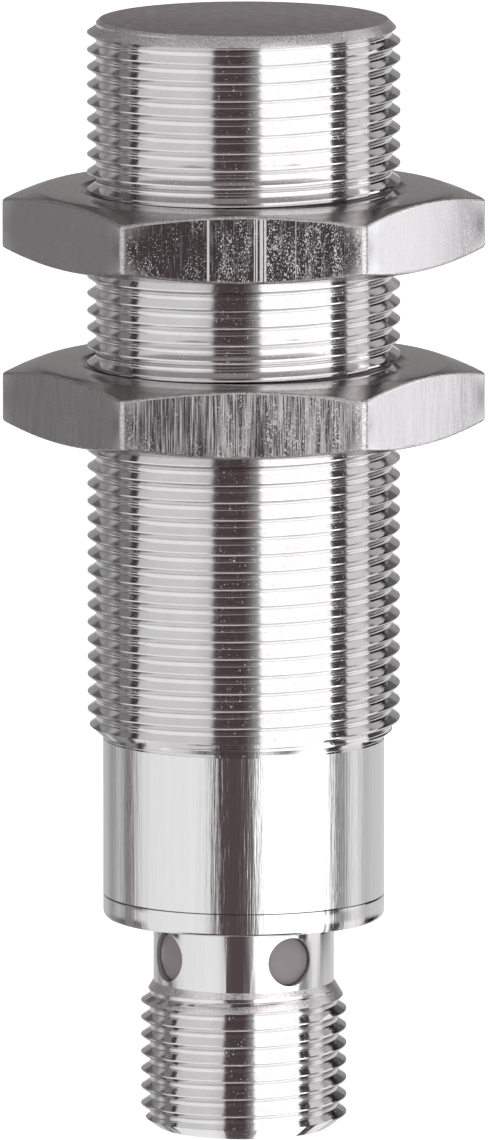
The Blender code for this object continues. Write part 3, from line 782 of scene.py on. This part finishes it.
def nut_flat_steel(name, cad_node, brushed, marks=()):
    """The nuts' six flats: dark drawn bar, nicked and scratched along the nut's axis. Brushed runs
    from 0, where single nicks show, to 1, where fine upright scratches cover the flat."""
    g = Finish(name)
    low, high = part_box(cad_node)
    middle, half = (low.z + high.z) / 2.0 / MM, (high.z - low.z) / 2.0 / MM
    x, y, z = g.split(g.millimetres)
    sixth = math.pi / 3.0
    turn = g.math("DIVIDE", g.math("ARCTAN2", y, x), sixth)
    number = g.math("FLOOR", turn)
    from_middle = g.math("MULTIPLY", g.math("SUBTRACT", g.math("FRACT", turn), 0.5), sixth)
    across = g.math("MULTIPLY", g.math("TANGENT", from_middle), high.y / MM)
    up = g.math("SUBTRACT", z, middle)
    flat = g.joined(across, up, g.math("MULTIPLY", number, 7.3))

    # The flat that faces the view is the one a wrench has been on; the others are little worn
    front = g.math("LESS_THAN", y, -0.98 * high.y / MM)
    worn = g.between(front, 0.0, 1.0, OTHER_FLATS_WEAR, 1.0)

    # Fine upright scratches, which come and go in broad bands
    lines = g.noise(g.vector("MULTIPLY", flat, (26.0, 0.35, 1.0)), 1.0, 2.0, 0.6)
    bands = g.noise(g.vector("MULTIPLY", flat, (0.9, 0.12, 1.0)), 1.0, 2.0)
    threshold = g.between(bands, 0.3, 0.7, 0.68 - 0.16 * brushed, 0.56 - 0.16 * brushed)
    scratches = g.math("MULTIPLY", g.math("SUBTRACT", lines, threshold), 6.0, clamp=True)
    scratches = g.math("MULTIPLY", scratches, worn)

    # Nicks, longer than wide, in upright clusters
    cells = g.add("ShaderNodeTexVoronoi")
    g.feed(cells.inputs["Vector"], g.vector("MULTIPLY", flat, (3.8, 2.1, 1.0)))
    chance = g.split(cells.outputs["Color"])[0]
    clusters = g.noise(g.vector("MULTIPLY", flat, (1.3, 0.35, 1.0)), 1.0, 2.0)
    worn_end = g.between(across, -6.0, 6.0, 0.5, 0.78)
    in_cluster = g.between(clusters, 0.35, 0.65, 0.35, 1.0)
    size = g.math("MULTIPLY", g.math("MULTIPLY", chance, in_cluster), worn_end)
    nicks = g.math("MULTIPLY", g.math("SUBTRACT", size, cells.outputs["Distance"]), 9.0, clamp=True)
    nicks = g.math("MULTIPLY", nicks, worn)

    # The rolled bar is duller and lighter near the corners
    to_corner = g.math("DIVIDE", g.math("ABSOLUTE", across), high.y / MM * math.tan(sixth / 2.0))
    to_end = g.math("DIVIDE", g.math("ABSOLUTE", up), half)
    near_end = g.between(to_end, 0.0, 1.0, 0.45, 1.0)
    haze_place = g.math("MULTIPLY", g.math("POWER", to_corner, 3.0), near_end)
    haze = g.between(haze_place, 0.22, 0.95, 0.0, 0.8, "SMOOTHSTEP")

    marked = g.math("MAXIMUM", g.math("MULTIPLY", scratches, 0.35 + 0.45 * brushed), nicks)
    marked = g.math("MAXIMUM", marked, haze)
    if marks:
        line = 0.0
        for place, width in marks:
            distance = g.math("ABSOLUTE", g.math("SUBTRACT", x, place))
            line = g.math("MAXIMUM", line, g.between(distance, 0.7 * width, width, 1.0, 0.0))
        marked = g.math("MAXIMUM", marked, g.math("MULTIPLY", line, front))
    normal = g.bump(nicks, 0.004 * MM, g.bump(g.math("MULTIPLY", lines, worn), 0.003 * MM))
    g.set(
        Base_Color=g.mix(marked, NUT_FLAT, NUT_FLAT_MARK),
        Metallic=1.0,
        Roughness=g.math("ADD", g.math("MULTIPLY", marked, 0.34), 0.15 + 0.09 * brushed),
        Normal=normal,
    )
    return g.material


def window_plastic():
    """Frosted light guide behind the windows."""
    g = Finish("window_plastic")
    fine = g.noise(g.millimetres, 3.0, 3.0)
    g.set(
        Base_Color=g.mix(fine, *WINDOW_TONES),
        Roughness=g.between(fine, 0.3, 0.7, 0.3, 0.42),
        Normal=g.bump(fine, 0.003 * MM),
    )
    return g.material


def plain(name):
    """A moulded, cast or drawn finish: a colour with a slight mottle and grain."""
    colour, roughness, metallic = PLAIN_FINISHES[name]
    g = Finish(name)
    fine = g.noise(g.millimetres, 3.0, 3.0)
    darker = tuple(0.8 * c for c in colour)
    g.set(
        Base_Color=g.mix(fine, darker, colour),
        Metallic=metallic,
        Roughness=g.between(fine, 0.3, 0.7, 0.85 * roughness, 1.15 * roughness),
        Normal=g.bump(fine, 0.002 * MM),
    )
    return g.material


def paint(obj, *choices):
    """Gives each face the first material whose test(centre, normal) holds. The last has no test."""
    obj.data.materials.clear()
    for finish, test in choices:
        obj.data.materials.append(finish)
    for face in obj.data.polygons:
        centre, normal = Vector(face.center), Vector(face.normal)
        for slot, (finish, test) in enumerate(choices):
            if test is None or test(centre, normal):
                face.material_index = slot
                break


# ---------------------------------------------------------------- studio


# Bright and dark panels round the sensor, by the azimuth of the upright surface that mirrors them
# to the camera: degrees, positive to the right, and the light that comes from there.
PANELS = [
    (-90, 0.57),
    (-75, 0.57),
    (-71, 0.40),
    (-68, 0.33),
    (-62, 0.67),
    (-60, 0.57),
    (-57, 0.30),
    (-53, 0.15),
    (-51, 0.57),
    (-47, 0.87),
    (-40, 0.98),
    (-20, 1.03),
    (-14, 0.91),
    (-12.5, 0.77),
    (-11.4, 0.14),
    (-10, 0.09),
    (0, 0.08),
    (2, 0.15),
    (4.5, 0.36),
    (6, 0.57),
    (7.2, 1.85),
    (36.8, 1.85),
    (38.3, 0.90),
    (39.8, 0.38),
    (43.5, 0.31),
    (46, 0.45),
    (49, 0.85),
    (53, 1.01),
    (58, 0.58),
    (65, 0.70),
    (90, 0.72),
]
DARK_PANEL_LIMIT = 0.25  # a panel with less light than this is tinted
DARK_PANEL_TINT = (1.20, 0.91, 0.94)

# Zones of the studio laid over the panels: the light that comes from a zone, then its soft edges,
# each an axis and the places on it where the zone starts to come in and is fully there. Places are
# those of a direction: its height z, 1 straight up, and its depth y, 1 straight away from the view
STUDIO_TINT = (1.03, 0.99, 1.0)
CEILING = (0.36, ("z", -0.02, 0.06), ("y", -0.2, 0.1))
OVERHEAD = (0.9, ("z", 0.40, 0.48), ("z", 0.70, 0.64), ("y", -0.05, -0.2))
HORIZON = (0.32, ("z", -0.02, 0.06), ("y", 0.75, 0.85))
BACKGROUND = (0.12, ("z", 0.21, 0.27), ("z", 0.64, 0.57), ("y", 0.6, 0.75))
UNDERSIDE = (0.06, ("z", -0.86, -0.92), ("y", -0.35, -0.15))

# What the camera sees behind the sensor
BACKDROP_LIGHT = 1.05

# What the slanting flanks of the threads mirror instead at the sides: start and end in the same
# degrees as the panels, and light. They mirror it below or above the horizon, not behind the sensor
SIDE_BANDS = [
    (-95, -62, 0.26),
    (-62, -57, 0.13),
    (-57, -50, 0.30),
    (-50, -45.5, 0.06),
    (36.5, 44.5, 0.07),
    (44.5, 58, 1.05),
    (58, 75, 0.02),
    (75, 95, 0.18),
]
SIDE_BAND_SOFTNESS = 0.7
SIDE_BAND_BELOW = ("z", -0.17, -0.24)
SIDE_BAND_ABOVE = ("z", -0.06, 0.02)
SIDE_BAND_DEPTH = ("y", 0.88, 0.80)


def panel_ramp(g, share):
    """The panels as a colour ramp over azimuths of -90 to 90 degrees."""
    ramp = g.add("ShaderNodeValToRGB")
    g.feed(ramp.inputs[0], share)
    stops = ramp.color_ramp.elements
    while len(stops) > 1:
        stops.remove(stops[-1])
    for number, (angle, light) in enumerate(PANELS):
        position = (angle + 90.0) / 180.0
        stop = stops[0] if number == 0 else stops.new(position)
        stop.position = position
        tint = DARK_PANEL_TINT if light < DARK_PANEL_LIMIT else (1.0, 1.0, 1.0)
        stop.color = (*(light * t for t in tint), 1.0)
    return ramp.outputs[0]


def make_world():
    """A studio of upright panels, with a light overhead, a grey ceiling and a dark background."""
    world = bpy.data.worlds.new("studio")
    bpy.context.scene.world = world
    world.use_nodes = True
    world.node_tree.nodes.clear()
    g = Nodes(world.node_tree)
    x, y, z = g.split(g.add("ShaderNodeTexCoord").outputs["Generated"])

    # Half-way between a direction and the camera's is the normal that mirrors one into the other
    towards_camera = g.math("SUBTRACT", math.cos(CAMERA_ELEVATION), y)
    azimuth = g.math("ARCTAN2", x, g.math("MAXIMUM", towards_camera, 0.0001))
    light = panel_ramp(g, g.math("ADD", g.math("DIVIDE", azimuth, math.pi), 0.5))

    def soft_edge(value, start, full):
        """A mask that runs from 0 at the start of an edge to 1 where the zone is fully there."""
        if start < full:
            return g.between(value, start, full, shape="SMOOTHSTEP")
        return g.between(value, full, start, 1.0, 0.0, "SMOOTHSTEP")

    def edge_of(axis, start, full):
        return soft_edge(y if axis == "y" else z, start, full)

    def lay(light, value, *masks):
        share = masks[0]
        for mask in masks[1:]:
            share = g.math("MULTIPLY", share, mask)
        return g.mix(share, light, tuple(part * value for part in STUDIO_TINT))

    for value, *edges in (CEILING, OVERHEAD, HORIZON, BACKGROUND):
        light = lay(light, value, *(edge_of(*edge) for edge in edges))

    degrees = g.math("MULTIPLY", azimuth, 180.0 / math.pi)
    steep = g.math("MAXIMUM", edge_of(*SIDE_BAND_BELOW), edge_of(*SIDE_BAND_ABOVE))
    steep = g.math("MULTIPLY", steep, edge_of(*SIDE_BAND_DEPTH))
    for start, end, value in SIDE_BANDS:
        after = soft_edge(degrees, start - SIDE_BAND_SOFTNESS, start + SIDE_BAND_SOFTNESS)
        before = soft_edge(degrees, end + SIDE_BAND_SOFTNESS, end - SIDE_BAND_SOFTNESS)
        light = lay(light, value, steep, after, before)

    value, *edges = UNDERSIDE
    light = lay(light, value, *(edge_of(*edge) for edge in edges))

    studio = g.add("ShaderNodeBackground")
    g.feed(studio.inputs[0], light)
    backdrop = g.add("ShaderNodeBackground")
    backdrop.inputs[0].default_value = (1.0, 1.0, 1.0, 1.0)
    backdrop.inputs[1].default_value = BACKDROP_LIGHT
    choose = g.add("ShaderNodeMixShader")
    g.feed(choose.inputs[0], g.add("ShaderNodeLightPath").outputs["Is Camera Ray"])
    g.feed(choose.inputs[1], studio.outputs[0])
    g.feed(choose.inputs[2], backdrop.outputs[0])
    g.feed(g.add("ShaderNodeOutputWorld").inputs[0], choose.outputs[0])


# A strip light beside the nuts, on the right, that their flats mirror
STRIP_DISTANCE = 30.0 * MM
STRIP_ASIDE = 2.3 * MM
STRIP_SIZE = (9.0 * MM, 70.0 * MM)
STRIP_LIGHT = 2.3
STRIP_COLOUR = (0.96, 1.0, 1.01)


def make_strip_light(receivers):
    """A soft strip that only the nuts see, where their right flats mirror it to the camera."""
    flat_azimuth = math.radians(60.0)
    flat_normal = Vector((math.sin(flat_azimuth), -math.cos(flat_azimuth), 0.0))
    view = Vector((0.0, -math.cos(CAMERA_ELEVATION), math.sin(CAMERA_ELEVATION)))
    mirrored = 2.0 * flat_normal.dot(view) * flat_normal - view
    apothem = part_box("front_lock_nut")[1].y
    data = bpy.data.lights.new("strip", "AREA")
    data.shape = "RECTANGLE"
    data.size, data.size_y = STRIP_SIZE
    data.energy = STRIP_LIGHT * math.pi * data.size * data.size_y
    data.color = STRIP_COLOUR
    strip = bpy.data.objects.new("strip", data)
    aside = Vector((mirrored.y, -mirrored.x, 0.0)).normalized()
    strip.location = flat_normal * apothem + mirrored * STRIP_DISTANCE + aside * STRIP_ASIDE
    strip.location.z -= 0.5 * (FRONT_NUT_DEPTH + REAR_NUT_DEPTH)
    strip.rotation_mode = "QUATERNION"
    strip.rotation_quaternion = mirrored.to_track_quat("Z", "Y")
    strip.visible_camera = False
    bpy.context.scene.collection.objects.link(strip)
    lit = bpy.data.collections.new("lit_by_strip")
    for piece in receivers:
        lit.objects.link(piece)
    strip.light_linking.receiver_collection = lit


FLOOR_RADIUS = 1.2
FLOOR_GAP = 0.02 * MM
FLOOR_GREY = 0.6
FLOOR_GLOW = 0.85


def make_floor():
    """A round floor that glows slightly, so that it comes out white, and that nothing mirrors."""
    bm = bmesh.new()
    bmesh.ops.create_circle(bm, cap_ends=True, segments=96, radius=FLOOR_RADIUS)
    floor = add_mesh("floor", bm)
    floor.location.z = cad_low.z - FLOOR_GAP
    g = Finish("floor_white")
    g.set(
        Base_Color=(FLOOR_GREY, FLOOR_GREY, FLOOR_GREY, 1.0),
        Roughness=0.8,
        Emission_Color=(1.0, 1.0, 1.0, 1.0),
        Emission_Strength=FLOOR_GLOW,
    )
    floor.data.materials.append(g.material)
    floor.visible_glossy = False


def make_camera():
    """A long lens slightly above the horizontal, aimed a little to one side of the axis."""
    data = bpy.data.cameras.new("camera")
    data.sensor_fit = "AUTO"
    data.sensor_width = FILM_WIDTH
    data.lens = FILM_WIDTH * CAMERA_DISTANCE / FRAME_HEIGHT
    data.clip_start, data.clip_end = 0.01, 10.0
    camera = bpy.data.objects.new("camera", data)
    back = Vector((0.0, -math.cos(CAMERA_ELEVATION), math.sin(CAMERA_ELEVATION)))
    camera.location = CAMERA_TARGET + back * CAMERA_DISTANCE
    camera.rotation_mode = "QUATERNION"
    camera.rotation_quaternion = (-back).to_track_quat("-Z", "Y")
    bpy.context.scene.collection.objects.link(camera)
    bpy.context.scene.camera = camera


def on_flat(centre, normal):
    """Whether a face lies on one of the nuts' flats, not on a rounded corner or in the bore."""
    from_flat = (math.degrees(math.atan2(normal.y, normal.x)) - 30.0) % 60.0
    faces_out = abs(normal.z) < 0.02 and min(from_flat, 60.0 - from_flat) < 2.0
    return faces_out and centre.xy.length > NUT_FLAT_RADIUS


def on_cone(centre, normal):
    """Whether a face lies on the cone between the neck and the plug's thread."""
    return -PLUG_THREAD_TOP < centre.z and 0.4 < normal.z < 0.6 and centre.xy.length > NECK_RADIUS


def show(piece, body, node):
    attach(piece, body)
    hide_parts(node)


def main():
    bpy.context.scene.view_settings.view_transform = "Standard"
    make_world()
    make_floor()
    make_camera()

    turned_finish, face_finish = turned_steel(), face_steel()
    drawn_finish = drawn_steel("drawn_steel", 0.02 * MM, 0.0)
    neck_finish = drawn_steel("neck_steel", 0.003 * MM, 0.02)
    chamfer_finish = worn_steel("chamfer_steel", *CHAMFER_TONES)
    nut_edge = worn_steel("nut_edge_steel", *NUT_EDGE_TONES)
    nut_face = nut_face_steel()

    barrel = make_barrel()
    barrel.name = "threaded_barrel"
    face_rim = FACE_RADIUS - 0.1 * MM
    paint(
        barrel,
        (face_finish, lambda c, n: n.z > 0.99 and c.z > -0.01 * MM),
        (chamfer_finish, lambda c, n: c.z > -THREAD_TOP and 0.2 < n.z and c.xy.length > face_rim),
        (drawn_finish, lambda c, n: c.z < -SHANK_TOP - 0.2 * MM),
        (turned_finish, None),
    )
    show(barrel, SENSOR, "housing_barrel")

    shell = make_connector_shell()
    shell.name = "plug_shell"
    neck_side = NECK_RADIUS - 0.1 * MM
    paint(
        shell,
        (neck_finish, lambda c, n: -NECK_END < c.z < -FLANGE_END and c.xy.length > neck_side),
        (drawn_finish, lambda c, n: -NECK_END < c.z and c.xy.length > neck_side),
        (chamfer_finish, on_cone),
        (turned_finish, None),
    )
    show(shell, SENSOR, "connector_shell")

    nut_flats = {
        "front_lock_nut": nut_flat_steel("front_nut_flats", "front_lock_nut", 0.35, WRENCH_MARKS),
        "rear_lock_nut": nut_flat_steel("rear_nut_flats", "rear_lock_nut", 1.0),
    }
    nuts = []
    for node, body in (("front_lock_nut", "front_nut"), ("rear_lock_nut", "rear_nut")):
        nut = make_nut(f"{body}_hexagon", node)
        paint(
            nut,
            (nut_flats[node], on_flat),
            (nut_edge, lambda c, n: c.xy.length > NUT_EDGE_RADIUS and abs(n.z) < 0.93),
            (nut_face, None),
        )
        show(nut, body, node)
        nuts.append(nut)
    make_strip_light(nuts)

    guide = make_light_guide()
    guide.name = "window_light_guide"
    paint(guide, (window_plastic(), None))
    show(guide, SENSOR, "light_guide")

    finishes = {name: plain(name) for name in PLAIN_FINISHES}
    carrier = make_carrier()
    carrier.name = "plug_insert"
    paint(carrier, (finishes["black_plastic"], None))
    show(carrier, SENSOR, "contact_carrier")

    for number, angle in enumerate(pin_angles(), start=1):
        pin = make_pin(f"plug_pin_{number}", f"contact_pin_{number}", angle)
        paint(pin, (finishes["gold_plating"], None))
        show(pin, SENSOR, f"contact_pin_{number}")

    # The carrier and the pins are replaced; the other CAD nodes in plain finishes are shown
    for part in frame["record"]["subparts"]:
        slot = part["material_slot"]
        if slot in finishes and slot not in ("black_plastic", "gold_plating"):
            node = frame["nodes"][part["node"]]
            node.data.materials.clear()
            node.data.materials.append(finishes[slot])


main()
